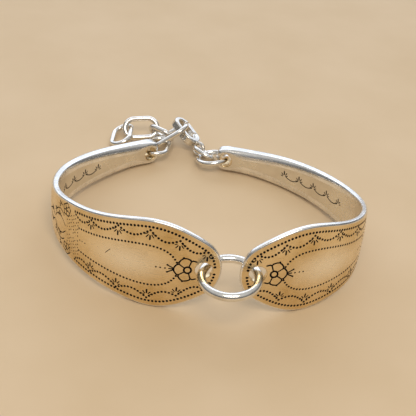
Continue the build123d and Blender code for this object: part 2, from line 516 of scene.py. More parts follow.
@dataclass
class HandlePattern:
    """Engraving of a handle, on the handle laid flat: x from the tip, a up from the midline."""

    edge_margin: float = 1.35
    border_dot: float = 0.54
    border_step: float = 0.72
    festoon_dot: float = 0.52
    festoon_step: float = 0.70
    festoon_dip: float = 1.25
    oval_dot: float = 0.47
    oval_step: float = 0.68
    fine_dot: float = 0.30
    line: float = 0.32
    fine_line: float = 0.22
    flower_x: float = 6.45
    flower_radius: float = 2.6
    flower_ring: float = 0.70
    petals: int = 5
    hole: tuple[float, float] = (3.4, 1.7)
    hole_margin: float = 0.45
    band_end: float = 31.0

    # Knots of the festoons, how wide one is that dips in full, and how far under a knot its sprig lies
    FESTOON_KNOTS = ((3.0, 4.1), (8.2, 6.1), (13.8, 7.5), (20.1, 6.85), (26.2, 5.7), (30.6, 4.9))
    FULL_FESTOON = 5.5
    SPRIG_DROP = 0.55
    # The dotted oval round the plain middle
    OVAL = ((8.5, 1.5), (9.4, 2.75), (10.9, 3.75), (13.4, 4.3), (18.0, 4.1), (23.9, 3.2), (29.4, 2.5))
    # Leaves of a sprig on one side: angle from the middle leaf, start, stop and width
    LEAVES = ((0.0, 0.62, 1.35, 0.33), (0.66, 0.55, 1.15, 0.23), (1.25, 0.50, 0.95, 0.20))
    # Outline of a petal: degrees from its tip, and share of the flower's radius
    PETAL = ((-36, 0.76), (-29, 0.88), (-14, 0.95), (0, 1.02), (14, 0.95), (29, 0.88), (36, 0.76))
    # In a flower: width of the ring's line, start, stop and width of the grooves between petals, and
    # place and width of the dots at the tips
    FLOWER_RING_LINE = 1.15
    GROOVE = (1.3, 0.76, 0.85)
    TIP_DOT = (1.04, 1.5)
    # At the bend, the stipple: its columns, where a column starts and every other one's stagger, the
    # top of the tallest and how much lower each next one is, step between dots, how far they stray,
    # and how fast the stray turns along x and a
    STIPPLE_COLUMNS = (29.8, 30.5, 31.2, 31.9, 32.6, 33.3)
    STIPPLE_START = (0.55, 0.38)
    STIPPLE_TOP = (4.6, 0.5)
    STIPPLE_STEP = 0.76
    STIPPLE_STRAY = 0.16
    STRAY_TURN = (9.0, 4.0)
    # At the bend, the scrolls, sprigs as x, a, aim and size, a flower as x, a, radius and turn, and
    # the dotted tail
    SCROLL_STEP = 0.5
    SCROLLS = (
        ((34.2, 0.6), (35.3, 1.5), (36.7, 1.9), (38.2, 1.5), (39.0, 0.5)),
        ((34.8, 2.6), (36.0, 3.3), (37.4, 3.1), (38.4, 2.3)),
        ((39.4, 0.4), (40.6, 1.0), (41.9, 0.8), (42.8, 0.2)),
    )
    BEND_SPRIGS = (
        (36.6, 1.6, 1.3, 0.8),
        (38.2, 2.0, 0.5, 0.8),
        (40.7, 0.8, 1.1, 0.7),
        (36.2, 4.0, 0.9, 0.8),
    )
    BEND_FLOWER = (33.9, 4.4, 1.35, math.radians(20))
    BEND_TAIL = ((43.4, 0.0), (46.0, 0.0))
    TAIL_STEP = 0.9
    # On the midline: a stalk with its bud above it, the middle stalk, and dots as x and width
    STALK_AND_BUD = ((8.95, 0.12, 10.1, 0.72, 0.26), (10.2, 0.78, 10.2, 0.78, 0.42))
    MIDDLE_STALK = (9.1, 0.0, 9.9, 0.0, 0.26)
    MIDLINE_DOTS = ((10.6, 0.36), (11.5, 0.36), (12.3, 0.36), (27.6, 0.30), (28.4, 0.30), (29.1, 0.30))
    # The wrist side's vine: where it starts, reach and dip of a scallop, how many there are, the
    # shares of a scallop between which its stem runs, and a, aim and size of the leaves
    VINE_START = 47.6
    VINE_REACH = 4.3
    VINE_DIP = 0.75
    VINE_TURNS = 4
    VINE_STEM = (0.08, 0.92)
    VINE_LEAVES = (-0.35, math.pi / 2.2, 1.0)

    def outer_cuts(self, edge: np.ndarray) -> list[Cut]:
        """Every cut of the outer face.

        Args:
            edge: the upper half of the handle's outline, from tip to stem.

        Returns:
            The cuts.
        """
        half = self._border(edge) + self._festoons() + self._oval() + self._bend_cluster()
        cuts = half + [cut.mirrored() for cut in half]
        cuts += self._flower(self.flower_x, 0.0, self.flower_radius, 0.0, self.line)
        cuts += self._middle_sprig()
        hole_x, hole_radius = self.hole
        kept = []
        for cut in cuts:
            middle = math.hypot((cut.x0 + cut.x1) / 2 - hole_x, (cut.a0 + cut.a1) / 2)
            if middle > hole_radius + self.hole_margin:
                kept.append(cut)
        return kept

    def inner_cuts(self) -> list[Cut]:
        """The small leafy vine along the wrist side.

        Returns:
            Stems in shallow scallops, with leaves where they meet.
        """
        reach = self.VINE_REACH
        starts = [self.VINE_START + turn * reach for turn in range(self.VINE_TURNS + 1)]
        cuts: list[Cut] = []
        for x in starts[:-1]:
            shares = np.linspace(*self.VINE_STEM, 8)
            arc = [(x + reach * t, -self.VINE_DIP * math.sin(math.pi * t)) for t in shares]
            cuts += self._run(arc, self.fine_line)
        for x in starts:
            cuts += self._sprig(x, *self.VINE_LEAVES)
        return cuts

    @staticmethod
    def _run(path: list[tuple[float, float]] | np.ndarray, width: float) -> list[Cut]:
        """An engraved line along a run of points, one cut from each to the next."""
        return [Cut(*first, *last, width) for first, last in zip(path, path[1:])]

    @staticmethod
    def _dots(path: np.ndarray, step: float, size: float) -> list[Cut]:
        """Dots of one size in even steps along a run of points."""
        return [Cut(x, a, x, a, size) for x, a in even_points(path, step)]

    def _border(self, edge: np.ndarray) -> list[Cut]:
        """Dotted line a margin in from the edge, round the tip and back to the bend.

        Args:
            edge: the upper half of the handle's outline.

        Returns:
            The dots.
        """
        along = np.gradient(edge, axis=0)
        along /= np.linalg.norm(along, axis=1, keepdims=True)
        inward = np.stack([along[:, 1], -along[:, 0]], 1)
        line = edge + inward * self.edge_margin
        line = line[(line[:, 1] > 0.0) & (line[:, 0] < self.band_end)]
        return self._dots(line, self.border_step, self.border_dot)

    def _festoons(self) -> list[Cut]:
        """Dotted festoons between the border and the oval.

        Returns:
            The dots, and a sprig under each knot but the last.
        """
        cuts: list[Cut] = []
        for (x0, a0), (x1, a1) in zip(self.FESTOON_KNOTS, self.FESTOON_KNOTS[1:]):
            dip = self.festoon_dip * min(1.0, (x1 - x0) / self.FULL_FESTOON)
            path = [
                (x0 + (x1 - x0) * t, a0 + (a1 - a0) * t - dip * math.sin(math.pi * t))
                for t in np.linspace(0, 1, 17)
            ]
            cuts += self._dots(np.array(path), self.festoon_step, self.festoon_dot)[1:]
        for x, a in self.FESTOON_KNOTS[:-1]:
            cuts += self._sprig(x, a - self.SPRIG_DROP, -math.pi / 2, 1.0)
        return cuts

    def _sprig(self, x: float, a: float, aim: float, size: float) -> list[Cut]:
        """Five small leaves that fan out from one point.

        Args:
            x: place of the point along the handle.
            a: place of the point across it.
            aim: direction that the middle leaf points, in radians.
            size: length of the middle leaf.

        Returns:
            The cuts.
        """
        cuts = []
        other_side = tuple((-turn, *leaf) for turn, *leaf in self.LEAVES[1:])
        for turn, start, stop, wide in self.LEAVES + other_side:
            c, s = math.cos(aim + turn) * size, math.sin(aim + turn) * size
            cuts.append(Cut(x + c * start, a + s * start, x + c * stop, a + s * stop, wide))
        return cuts

    def _oval(self) -> list[Cut]:
        """Dotted oval round the plain middle, closed at the flower."""
        return self._dots(rounded_curve(self.OVAL), self.oval_step, self.oval_dot)

    def _bend_cluster(self) -> list[Cut]:
        """Upper half of the leaves, buds and stippled ground that end the pattern at the bend.

        Returns:
            The cuts.
        """
        cuts: list[Cut] = []
        start, stagger = self.STIPPLE_START
        tallest, lower = self.STIPPLE_TOP
        turn_x, turn_a = self.STRAY_TURN
        for column, x in enumerate(self.STIPPLE_COLUMNS):
            top = tallest - lower * abs(column - 2)
            for a in np.arange(start + stagger * (column % 2), top, self.STIPPLE_STEP):
                stray = self.STIPPLE_STRAY * math.sin(turn_x * x + turn_a * a)
                cuts.append(Cut(x + stray, a, x + stray, a, self.fine_dot))
        cuts += self._flower(*self.BEND_FLOWER, self.fine_line)
        for scroll in self.SCROLLS:
            cuts += self._run(even_points(rounded_curve(scroll), self.SCROLL_STEP), self.fine_line)
        for sprig in self.BEND_SPRIGS:
            cuts += self._sprig(*sprig)
        cuts += self._dots(np.array(self.BEND_TAIL), self.TAIL_STEP, self.fine_dot)
        return cuts

    def _flower(self, x: float, a: float, radius: float, turn: float, line: float) -> list[Cut]:
        """Open flower: a ring, and pointed petals in outline with a dot at each tip.

        Args:
            x: place of its middle along the handle.
            a: place of its middle across it.
            radius: reach of a petal.
            turn: angle of the first petal, in radians.
            line: width of the petals' lines.

        Returns:
            The cuts.
        """
        ring = self.flower_ring * radius / self.flower_radius

        def spot(angle: float, reach: float) -> tuple[float, float]:
            """The place at an angle and reach from the flower's middle."""
            return (x + math.cos(angle) * reach, a + math.sin(angle) * reach)

        eye = [spot(t, ring) for t in np.linspace(0, 2 * math.pi, 13)]
        cuts = self._run(eye, line * self.FLOWER_RING_LINE)
        low, high, groove = self.GROOVE
        tip_reach, tip_size = self.TIP_DOT
        for petal in range(self.petals):
            aim = turn + petal * 2 * math.pi / self.petals
            shape = [spot(aim + math.radians(d), share * radius) for d, share in self.PETAL]
            cuts += self._run(shape, line)
            side = aim + math.pi / self.petals
            cuts.append(Cut(*spot(side, ring * low), *spot(side, high * radius), line * groove))
            tip = spot(aim, radius * tip_reach)
            cuts.append(Cut(*tip, *tip, line * tip_size))
        return cuts

    def _middle_sprig(self) -> list[Cut]:
        """Stalks, buds and dots on the midline, from the flower toward the plain middle.

        Returns:
            The cuts.
        """
        cuts: list[Cut] = []
        for side in (1, -1):
            for x0, a0, x1, a1, width in self.STALK_AND_BUD:
                cuts.append(Cut(x0, a0 * side, x1, a1 * side, width))
        cuts.append(Cut(*self.MIDDLE_STALK))
        cuts += [Cut(x, 0.0, x, 0.0, width) for x, width in self.MIDLINE_DOTS]
        return cuts


class SheetNet:
    """Flat triangles of one face of a handle, close enough together to hold its engraving."""

    # Rows of the grid lie closer than its points, by this share
    ROW_SHARE = 0.85
    # Least distances: grid to a cut, points to a hole's edge, to the outline, and to each other
    CUT_ROOM = 0.3
    HOLE_ROOM = 0.12
    EDGE_ROOM = 0.11
    POINT_ROOM = 0.045
    # Rings of points round a cut: share of its half width, and how many at its ends; and along its
    # sides, the room left at the start and the end, and the step
    RINGS = ((1.0, 8), (0.55, 6))
    SIDE_ROOM = (0.14, 0.07)
    SIDE_STEP = 0.16
    MERGE = 1e-5
    # Reach of the search for cuts near a point, and the distance given where there is none
    SEARCH = 1.0
    FAR = 9.0

    def __init__(self, edge: np.ndarray, holes: list[np.ndarray], cuts: list[Cut], pitch: float) -> None:
        """Spreads points over the face and joins them.

        Args:
            edge: outline of the face.
            holes: outline of each hole in it.
            cuts: its engraved cuts.
            pitch: distance between points where nothing is engraved.
        """
        self.cuts = np.array([[c.x0, c.a0, c.x1, c.a1, c.width / 2] for c in cuts], float)
        loops = [edge, *holes]
        fixed = np.vstack(loops)
        free = self._spread(edge, holes, cuts, pitch, fixed)
        starts = np.cumsum([0] + [len(loop) for loop in loops])
        faces = [list(range(start, start + len(loop))) for start, loop in zip(starts, loops)]
        found, _, triangles, origin, _, _ = delaunay_2d_cdt(
            [Vector(p) for p in np.vstack([fixed, free])], [], faces, 1, self.MERGE
        )
        self.points = np.array([tuple(p) for p in found])
        tri = np.array(triangles)
        middle = self.points[tri].mean(1)
        keep = np.ones(len(tri), bool)
        for hole in holes:
            centre = hole.mean(0)
            keep &= np.linalg.norm(middle - centre, axis=1) > np.linalg.norm(hole[0] - centre)
        self.triangles = tri[keep]
        where = {o: i for i, sources in enumerate(origin) for o in sources}
        self.loops = [[where[k] for k in face] for face in faces]

    def _spread(
        self, edge: np.ndarray, holes: list[np.ndarray], cuts: list[Cut], pitch: float, fixed: np.ndarray
    ) -> np.ndarray:
        """Points inside the face: a staggered grid, with rings of points round each cut.

        Args:
            edge: outline of the face.
            holes: outline of each hole.
            cuts: the engraved cuts.
            pitch: distance between points of the grid.
            fixed: points that are there already.

        Returns:
            The points to add.
        """
        near = [self._rings(cut) for cut in cuts]
        rows = []
        top = edge[:, 1].max()
        for k, a in enumerate(np.arange(-top, top + pitch, pitch * self.ROW_SHARE)):
            shift = pitch / 2 if k % 2 else 0.0
            xs = np.arange(edge[:, 0].min() + shift, edge[:, 0].max(), pitch)
            rows.append(np.stack([xs, np.full(len(xs), a)], 1))
        grid = np.vstack(rows)
        grid = grid[self.depth_field(grid) > self.CUT_ROOM]
        points = np.vstack(near + [grid])
        points = points[self._inside(points, edge)]
        for hole in holes:
            centre = hole.mean(0)
            reach = np.linalg.norm(hole[0] - centre) + self.HOLE_ROOM
            points = points[np.linalg.norm(points - centre, axis=1) > reach]
        cells = np.round(points / self.POINT_ROOM).astype(int)
        _, first = np.unique(cells, axis=0, return_index=True)
        points = points[np.sort(first)]
        gap = np.full(len(points), np.inf)
        for i in range(0, len(fixed), 64):
            part = np.linalg.norm(points[:, None] - fixed[None, i : i + 64], axis=2).min(1)
            gap = np.minimum(gap, part)
        return points[gap > self.EDGE_ROOM]

    def _rings(self, cut: Cut) -> np.ndarray:
        """Points round the lip and the floor of one cut.

        Args:
            cut: the cut.

        Returns:
            The points.
        """
        start, stop = np.array([cut.x0, cut.a0]), np.array([cut.x1, cut.a1])
        run = stop - start
        length = float(np.linalg.norm(run))
        along = run / length if length > 1e-6 else np.array([1.0, 0.0])
        across = np.array([-along[1], along[0]])
        points = []
        for share, corners in self.RINGS:
            reach = cut.width / 2 * share
            for k in range(corners):
                turn = 2 * math.pi * (k + 0.5) / corners
                spot = along * math.cos(turn) * reach + across * math.sin(turn) * reach
                points.append((stop if math.cos(turn) > 0 else start) + spot)
            for t in np.arange(self.SIDE_ROOM[0], length - self.SIDE_ROOM[1], self.SIDE_STEP):
                points.append(start + along * t + across * reach)
                points.append(start + along * t - across * reach)
        points.append((start + stop) / 2)
        return np.array(points)

    @staticmethod
    def _inside(points: np.ndarray, edge: np.ndarray) -> np.ndarray:
        """Which points lie inside an outline.

        Args:
            points: the points.
            edge: corners of the outline.

        Returns:
            Whether each point does.
        """
        inside = np.zeros(len(points), bool)
        last = edge[-1]
        for corner in edge:
            crosses = (corner[1] > points[:, 1]) != (last[1] > points[:, 1])
            if crosses.any():
                at = (last[0] - corner[0]) * (points[:, 1] - corner[1])
                x = at / (last[1] - corner[1] + 1e-12) + corner[0]
                inside ^= crosses & (points[:, 0] < x)
            last = corner
        return inside

    def depth_field(self, points: np.ndarray) -> np.ndarray:
        """Distance from each point to the lip of the nearest cut, less than nought inside it.

        Args:
            points: places on the flat face.

        Returns:
            The distances.
        """
        best = np.full(len(points), self.FAR)
        for x0, a0, x1, a1, half in self.cuts:
            low = np.array([min(x0, x1), min(a0, a1)]) - self.SEARCH
            high = np.array([max(x0, x1), max(a0, a1)]) + self.SEARCH
            close = np.flatnonzero(((points > low) & (points < high)).all(1))
            if not len(close):
                continue
            start = np.array([x0, a0])
            run = np.array([x1, a1]) - start
            away = points[close] - start
            share = np.clip(away @ run / max(run @ run, 1e-9), 0, 1)
            gap = np.linalg.norm(away - share[:, None] * run, axis=1) - half
            best[close] = np.minimum(best[close], gap)
        return best


@dataclass
class MeshParts:
    """Points and faces of a mesh while it is put together, in millimetres."""

    spots: list[np.ndarray] = field(default_factory=list)
    normals: list[np.ndarray] = field(default_factory=list)
    # Strength of the painted highlight at each point
    painted_sheen: list[np.ndarray] = field(default_factory=list)
    faces: list[tuple[int, ...]] = field(default_factory=list)
    skins: list[Skin] = field(default_factory=list)
    count: int = 0

    def add_points(self, spots: np.ndarray, normals: np.ndarray, painted_sheen: np.ndarray) -> list[int]:
        """Adds points.

        Args:
            spots: their places.
            normals: the normal at each.
            painted_sheen: how strongly the painted highlight lies at each.

        Returns:
            The numbers of the new points.
        """
        self.spots.append(spots)
        self.normals.append(normals)
        self.painted_sheen.append(painted_sheen)
        self.count += len(spots)
        return list(range(self.count - len(spots), self.count))


@dataclass(frozen=True)
class Rim:
    """A rounded edge between a handle's two faces: round its outline, or round a hole.

    It has the points of its line on the flat handle, the direction out of the plate at each, how deep
    the rounding goes there, how wide it is on the inner face, and its skin.
    """

    line: np.ndarray
    away: np.ndarray
    radius: np.ndarray
    inner_reach: np.ndarray
    skin: Skin


@dataclass
class SpoonHandle:
    """One spoon handle: its bend, its outline and wall, and the smooth engraved mesh on them."""

    side: Side
    tip_x: float
    tip_y: float
    heading: float
    turns: tuple[float, ...]
    tilt: float
    lift: float
    shift: Vector
    extra_cuts: list[Cut] = field(default_factory=list)
    length: float = 83.4
    paddle_width: float = 19.0
    stem_width: float = 5.1
    paddle_wall: float = 1.15
    stem_thickness: float = 3.0
    face_crown: float = 0.4
    edge_round: float = 0.34
    shoulder: float = 0.9
    tip_hole: tuple[float, float] = (3.4, 1.7)
    stem_hole: tuple[float, float] = (81.0, 1.55)
    lip: float = 0.16
    cut_depth: float = 0.13
    cut_slope: float = 0.07
    outline_step: float = 0.32
    net_pitch: float = 0.75
    hole_corners: int = 40
    pattern: HandlePattern = field(default_factory=HandlePattern)

    # Share of the length that each arc of the bend takes
    SHARES = (0.10, 0.14, 0.14, 0.14, 0.14, 0.14, 0.20)
    # Share of the length, shares of the paddle's and the stem's width, and how far the wall thickens
    SECTIONS = (
        (0.000, 0.18, 0.00, 0.00),
        (0.008, 0.35, 0.00, 0.00),
        (0.020, 0.49, 0.00, 0.00),
        (0.040, 0.63, 0.00, 0.00),
        (0.070, 0.78, 0.00, 0.00),
        (0.110, 0.93, 0.00, 0.00),
        (0.160, 1.00, 0.00, 0.00),
        (0.220, 0.94, 0.00, 0.00),
        (0.300, 0.76, 0.19, 0.00),
        (0.400, 0.58, 0.35, 0.04),
        (0.520, 0.36, 0.60, 0.20),
        (0.650, 0.20, 0.89, 0.52),
        (0.800, 0.07, 1.11, 0.92),
        (0.900, 0.00, 1.15, 1.08),
        (0.950, 0.00, 1.11, 1.09),
        (1.000, 0.00, 1.00, 1.00),
    )
    # Outline of the two rounded ends, and the sections between them that it goes through
    TIP_ROUND = ((0.0, 0.0), (0.12, 1.35), (0.70, 3.20))
    STEM_ROUND = ((82.55, 2.40), (83.25, 1.60), (83.4, 0.0))
    ROUNDS_BETWEEN = (1.5, 82.0)
    # Half width that the crown is worked out from at the very tip, and how it grows to the broad part
    BROAD_TIP = 6.6
    BROAD_FROM = 5
    BROAD_POWER = 1.4
    PLAN_STEP = 0.05
    NORMAL_STEP = 0.02
    # How far inside a cut's lip the middle of a triangle lies that counts as cut
    LIP_MARGIN = 0.005
    # Middle, reach and half width of the oval where the painted highlight lies
    PAINTED_SHEEN_OVAL = (18.0, 12.0, 6.0)
    # Where the stem's inner edges start to be rounded wider, where fully, and the same at the end
    SHOULDER_ENDS = ((32.0, 48.0), (76.0, 80.0))
    # Share of the room between outline and hole that the outline's rounding may take
    ROOM_SHARE = 0.75
    # Degrees at which points lie on a rounded edge, from the flat face down to its middle
    ROUND_STEPS = (22.5, 45, 67.5, 90)

    @property
    def name(self) -> str:
        """Name of the node that this handle stands for."""
        return f"{self.side.name.lower()}_handle"

    def __post_init__(self) -> None:
        """Works out the plan curve and the widths, splined through the sections, and the wall."""
        rows = np.array(self.SECTIONS)
        places = rows[:, 0] * self.length
        self._xs = np.linspace(0, self.length, round(self.length / self.PLAN_STEP) + 1)
        arcs = self._arcs()
        x, y = (natural_spline(places, np.interp(places, self._xs, arc), self._xs) for arc in arcs.T)
        turn = np.unwrap(np.arctan2(np.gradient(y), self.side.value * np.gradient(x)))
        self._plan = np.stack([x, y, turn], 1)
        half = (rows[:, 1] * self.paddle_width + rows[:, 2] * self.stem_width) / 2
        start = self.BROAD_FROM
        grown = (places[:start] / places[start]) ** self.BROAD_POWER
        broad = half.copy()
        broad[:start] = self.BROAD_TIP + (half[start] - self.BROAD_TIP) * grown
        self._rows = places, half, broad, rows[:, 3]

    def _arcs(self) -> np.ndarray:
        """Places on the bend seen from above, one arc for each share of the handle's length.

        Returns:
            Rows of x and y in fine steps from the tip.
        """
        ends = np.cumsum((0, *self.SHARES)) * self.length
        turn = np.radians(np.interp(self._xs, ends, np.cumsum((self.heading, *self.turns))))
        run = np.stack([self.side.value * np.cos(turn), np.sin(turn)], 1)
        steps = (run[1:] + run[:-1]) / 2 * self.PLAN_STEP
        return np.array([self.tip_x, self.tip_y]) + np.vstack([np.zeros(2), np.cumsum(steps, 0)])

    def wall(self, along: np.ndarray) -> np.ndarray:
        """Thickness of the wall.

        Args:
            along: places along the handle.

        Returns:
            The thickness at each.
        """
        places, _, _, thickening = self._rows
        part = natural_spline(places, thickening, along)
        return self.paddle_wall + part * (self.stem_thickness - self.paddle_wall)

    def outward(self, flat: np.ndarray, face: Face) -> np.ndarray:
        """How far a face stands out from the plan curve at places on the flat handle.

        Args:
            flat: rows of x and a.
            face: which face.

        Returns:
            The distance, outward.
        """
        places, _, broad, thickening = self._rows
        width = natural_spline(places, broad, flat[:, 0])
        crown = self.face_crown * np.sqrt(width / (self.paddle_width / 2))
        curve = 1 - (flat[:, 1] / width) ** 2
        if face is Face.OUTER:
            return crown * curve
        part = natural_spline(places, thickening, flat[:, 0])
        return crown * (1 - part) * curve - self.wall(flat[:, 0])

    def place(self, flat: np.ndarray, out: np.ndarray) -> np.ndarray:
        """Places in the frame for places on the flat handle.

        Args:
            flat: rows of x and a.
            out: distance outward from the plan curve.

        Returns:
            Rows of x, y and z in millimetres.
        """
        x, y, turn = (np.interp(flat[:, 0], self._xs, self._plan[:, k]) for k in range(3))
        c, s = math.cos(self.tilt), math.sin(self.tilt)
        x = x + self.side.value * np.sin(turn) * out
        y = y - np.cos(turn) * out
        across = flat[:, 1]
        spots = np.stack([x, y * c + across * s, -y * s + across * c + self.lift], 1)
        return spots + np.array(self.shift)

    def axes(self, flat: np.ndarray) -> tuple[np.ndarray, np.ndarray, np.ndarray]:
        """Directions in the frame at places on the flat handle.

        Args:
            flat: rows of x and a.

        Returns:
            The directions along, across and outward.
        """
        turn = np.interp(flat[:, 0], self._xs, self._plan[:, 2])
        c, s = math.cos(self.tilt), math.sin(self.tilt)
        v = self.side.value
        along = np.stack([v * np.cos(turn), np.sin(turn) * c, -np.sin(turn) * s], 1)
        out = np.stack([v * np.sin(turn), -np.cos(turn) * c, np.cos(turn) * s], 1)
        across = np.tile(np.array([0.0, s, c]), (len(flat), 1))
        return along, across, out

    def face_normals(self, flat: np.ndarray, face: Face) -> np.ndarray:
        """Normals of a face, from its own curve rather than from its triangles.

        Args:
            flat: rows of x and a.
            face: which face.

        Returns:
            The normals, outward from the plate.
        """
        step = self.NORMAL_STEP
        spots = []
        for dx, da in ((step, 0), (-step, 0), (0, step), (0, -step)):
            moved = flat + np.array([dx, da])
            spots.append(self.place(moved, self.outward(moved, face)))
        normal = unit(np.cross(spots[0] - spots[1], spots[2] - spots[3]))
        _, _, out = self.axes(flat)
        sign = np.sign((normal * out).sum(1, keepdims=True))
        return normal * sign * (1 if face is Face.OUTER else -1)

    def painted_sheen(self, flat: np.ndarray) -> np.ndarray:
        """How strongly the painted highlight, a pale sheen, lies on the plate.

        Args:
            flat: rows of x and a.

        Returns:
            One in the plain middle of the paddle, falling to nought at the oval's edge.
        """
        middle, reach, half = self.PAINTED_SHEEN_OVAL
        away = np.hypot((flat[:, 0] - middle) / reach, flat[:, 1] / half)
        return 0.5 + 0.5 * np.cos(math.pi * np.clip(away, 0, 1))

    def _upper(self) -> list[tuple[float, float]]:
        """Points that the upper half of the outline goes through.

        Returns:
            The points, from the tip to where the stem's end rounds off.
        """
        places, half, _, _ = self._rows
        low, high = self.ROUNDS_BETWEEN
        return list(self.TIP_ROUND) + [(x, h) for x, h in zip(places, half) if low < x < high]

    def outline(self) -> np.ndarray:
        """The handle's outline laid flat.

        Returns:
            Points from the tip over the upper edge and back.
        """
        upper = self._upper() + list(self.STEM_ROUND)
        lower = [(x, -a) for x, a in reversed(upper[1:-1])]
        return even_points(rounded_curve(upper + lower, closed=True), self.outline_step, closed=True)

    def outline_half(self) -> np.ndarray:
        """Upper half of the outline.

        Returns:
            Points from the tip to the stem.
        """
        upper = self._upper()
        mirror = [(x, -a) for x, a in reversed(upper[1:4])]
        curve = rounded_curve(mirror + upper)
        start = int(np.argmin(np.abs(curve[: len(curve) // 2, 1])))
        return curve[start:]

    def _rims(self) -> list[Rim]:
        """The rounded edges of the outline and the two holes.

        Returns:
            The outline's rim, then the holes'.
        """
        edge = self.outline()
        forward = unit(np.roll(edge, -1, 0) - np.roll(edge, 1, 0))
        away = np.stack([-forward[:, 1], forward[:, 0]], 1)
        if (edge[:, 0] * np.roll(edge[:, 1], -1) - np.roll(edge[:, 0], -1) * edge[:, 1]).sum() > 0:
            away = -away
        turns = np.linspace(0, 2 * math.pi, self.hole_corners, endpoint=False)
        circle = np.stack([np.cos(turns), np.sin(turns)], 1)
        lip = np.full(len(circle), self.lip)
        radius = self.edge_round * self.wall(edge[:, 0])
        holes = []
        for x, hole_radius in (self.tip_hole, self.stem_hole):
            centre = np.array([x, 0.0])
            room = np.linalg.norm(edge - centre, axis=1) - hole_radius - self.lip
            radius = np.minimum(radius, self.ROOM_SHARE * room)
            holes.append(Rim(centre + circle * hole_radius, -circle, lip, lip, Skin.PLATE))
        rise, fall = self.SHOULDER_ENDS
        share = np.clip((edge[:, 0] - rise[0]) / (rise[1] - rise[0]), 0, 1)
        share *= np.clip((fall[1] - edge[:, 0]) / (fall[1] - fall[0]), 0, 1)
        reach = radius + self.shoulder * share**2 * (3 - 2 * share)
        return [Rim(edge, away, radius, reach, Skin.RIM), *holes]

    def build(self) -> bpy.types.Object:
        """Builds the handle's mesh with its engraving.

        Returns:
            The object.
        """
        rims = self._rims()
        parts = MeshParts()
        cuts = {
            Face.OUTER: self.pattern.outer_cuts(self.outline_half()) + self.extra_cuts,
            Face.INNER: self.pattern.inner_cuts(),
        }
        ends: dict[Face, list[list[int]]] = {}
        for face in Face:
            outer = face is Face.OUTER
            lines = [r.line - r.away * (r.radius if outer else r.inner_reach)[:, None] for r in rims]
            net = SheetNet(lines[0], lines[1:], cuts[face], self.net_pitch)
            ends[face] = self._add_face(parts, face, net)
        for which, rim in enumerate(rims):
            self._add_rim(parts, rim, ends[Face.OUTER][which], ends[Face.INNER][which])
        return self._object(parts)

    def _add_face(self, parts: MeshParts, face: Face, net: SheetNet) -> list[list[int]]:
        """Adds one broad face, with its cuts sunk into it.

        Args:
            parts: the mesh so far.
            face: which face.
            net: its flat triangles.

        Returns:
            The numbers of the points round its outline and round each hole.
        """
        sign = 1 if face is Face.OUTER else -1
        plain = Skin.PLATE if face is Face.OUTER else Skin.WRIST
        sunk = self.cut_depth * np.clip(-net.depth_field(net.points) / self.cut_slope, 0, 1)
        new = parts.add_points(
            self.place(net.points, self.outward(net.points, face) - sign * sunk),
            self.face_normals(net.points, face),
            self.painted_sheen(net.points),
        )
        dark = net.depth_field(net.points[net.triangles].mean(1)) < -self.LIP_MARGIN
        parts.faces += [tuple(new[i] for i in tri) for tri in net.triangles]
        parts.skins += [Skin.RECESS if cut else plain for cut in dark]
        return [[new[i] for i in loop] for loop in net.loops]

    def _add_rim(self, parts: MeshParts, rim: Rim, upper: list[int], lower: list[int]) -> None:
        """Adds a rounded edge between the two faces.

        Args:
            parts: the mesh so far.
            rim: the edge.
            upper: points of the outer face along it.
            lower: points of the inner face along it.
        """
        rings = [upper]
        for face, steps in ((Face.OUTER, self.ROUND_STEPS), (Face.INNER, self.ROUND_STEPS[::-1])):
            outer = face is Face.OUTER
            reach = rim.radius if outer else rim.inner_reach
            flatter = (reach / rim.radius)[:, None]
            for turn in np.radians(steps):
                flat = rim.line - rim.away * (reach * (1 - math.sin(turn)))[:, None]
                drop = rim.radius * (1 - math.cos(turn)) * (1 if outer else -1)
                along, across, _ = self.axes(flat)
                sideways = along * rim.away[:, :1] + across * rim.away[:, 1:]
                front = self.face_normals(flat, face)
                normals = unit(front * math.cos(turn) * flatter + sideways * math.sin(turn))
                spots = self.place(flat, self.outward(flat, face) - drop)
                rings.append(parts.add_points(spots, normals, self.painted_sheen(flat)))
        rings.append(lower)
        for before, after in zip(rings, rings[1:]):
            for k in range(len(before)):
                nxt = (k + 1) % len(before)
                parts.faces.append((before[k], before[nxt], after[nxt], after[k]))
                parts.skins.append(rim.skin)

    def _object(self, parts: MeshParts) -> bpy.types.Object:
        """Makes the object, with every face turned outward.

        Args:
            parts: its points, faces and normals.

        Returns:
            The object.
        """
        spots, normals = np.vstack(parts.spots), np.vstack(parts.normals)
        turned = []
        for face in parts.faces:
            a, b, c = (spots[i] for i in face[:3])
            way = np.dot(np.cross(b - a, c - a), normals[list(face)].mean(0))
            turned.append(face if way > 0 else tuple(reversed(face)))
        mesh = bpy.data.meshes.new(self.name + "_engraved")
        mesh.from_pydata((spots * MM).tolist(), [], turned)
        mesh.polygons.foreach_set("material_index", [skin.value for skin in parts.skins])
        mesh.polygons.foreach_set("use_smooth", [True] * len(turned))
        mesh.update()
        loop_normals = []
        for polygon, skin in zip(mesh.polygons, parts.skins):
            for corner in polygon.vertices:
                crisp = skin is Skin.RECESS
                loop_normals.append(tuple(polygon.normal if crisp else normals[corner]))
        mesh.normals_split_custom_set(loop_normals)
        # Point values of the painted highlight, which the plate's material reads
        sheen_attribute = mesh.attributes.new(PAINTED_SHEEN, "FLOAT", "POINT")
        sheen_attribute.data.foreach_set("value", np.concatenate(parts.painted_sheen))
        piece = bpy.data.objects.new(self.name + "_engraved", mesh)
        bpy.context.scene.collection.objects.link(piece)
        return piece

    def dress(self, piece: bpy.types.Object, finishes: dict[Skin, bpy.types.Material]) -> None:
        """Gives the piece its finishes and ties it to the frame.

        Args:
            piece: the handle's object.
            finishes: material of each slot.
        """
        for skin in Skin:
            piece.data.materials.append(finishes[skin])
        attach(piece, "bracelet")
        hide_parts(self.name)


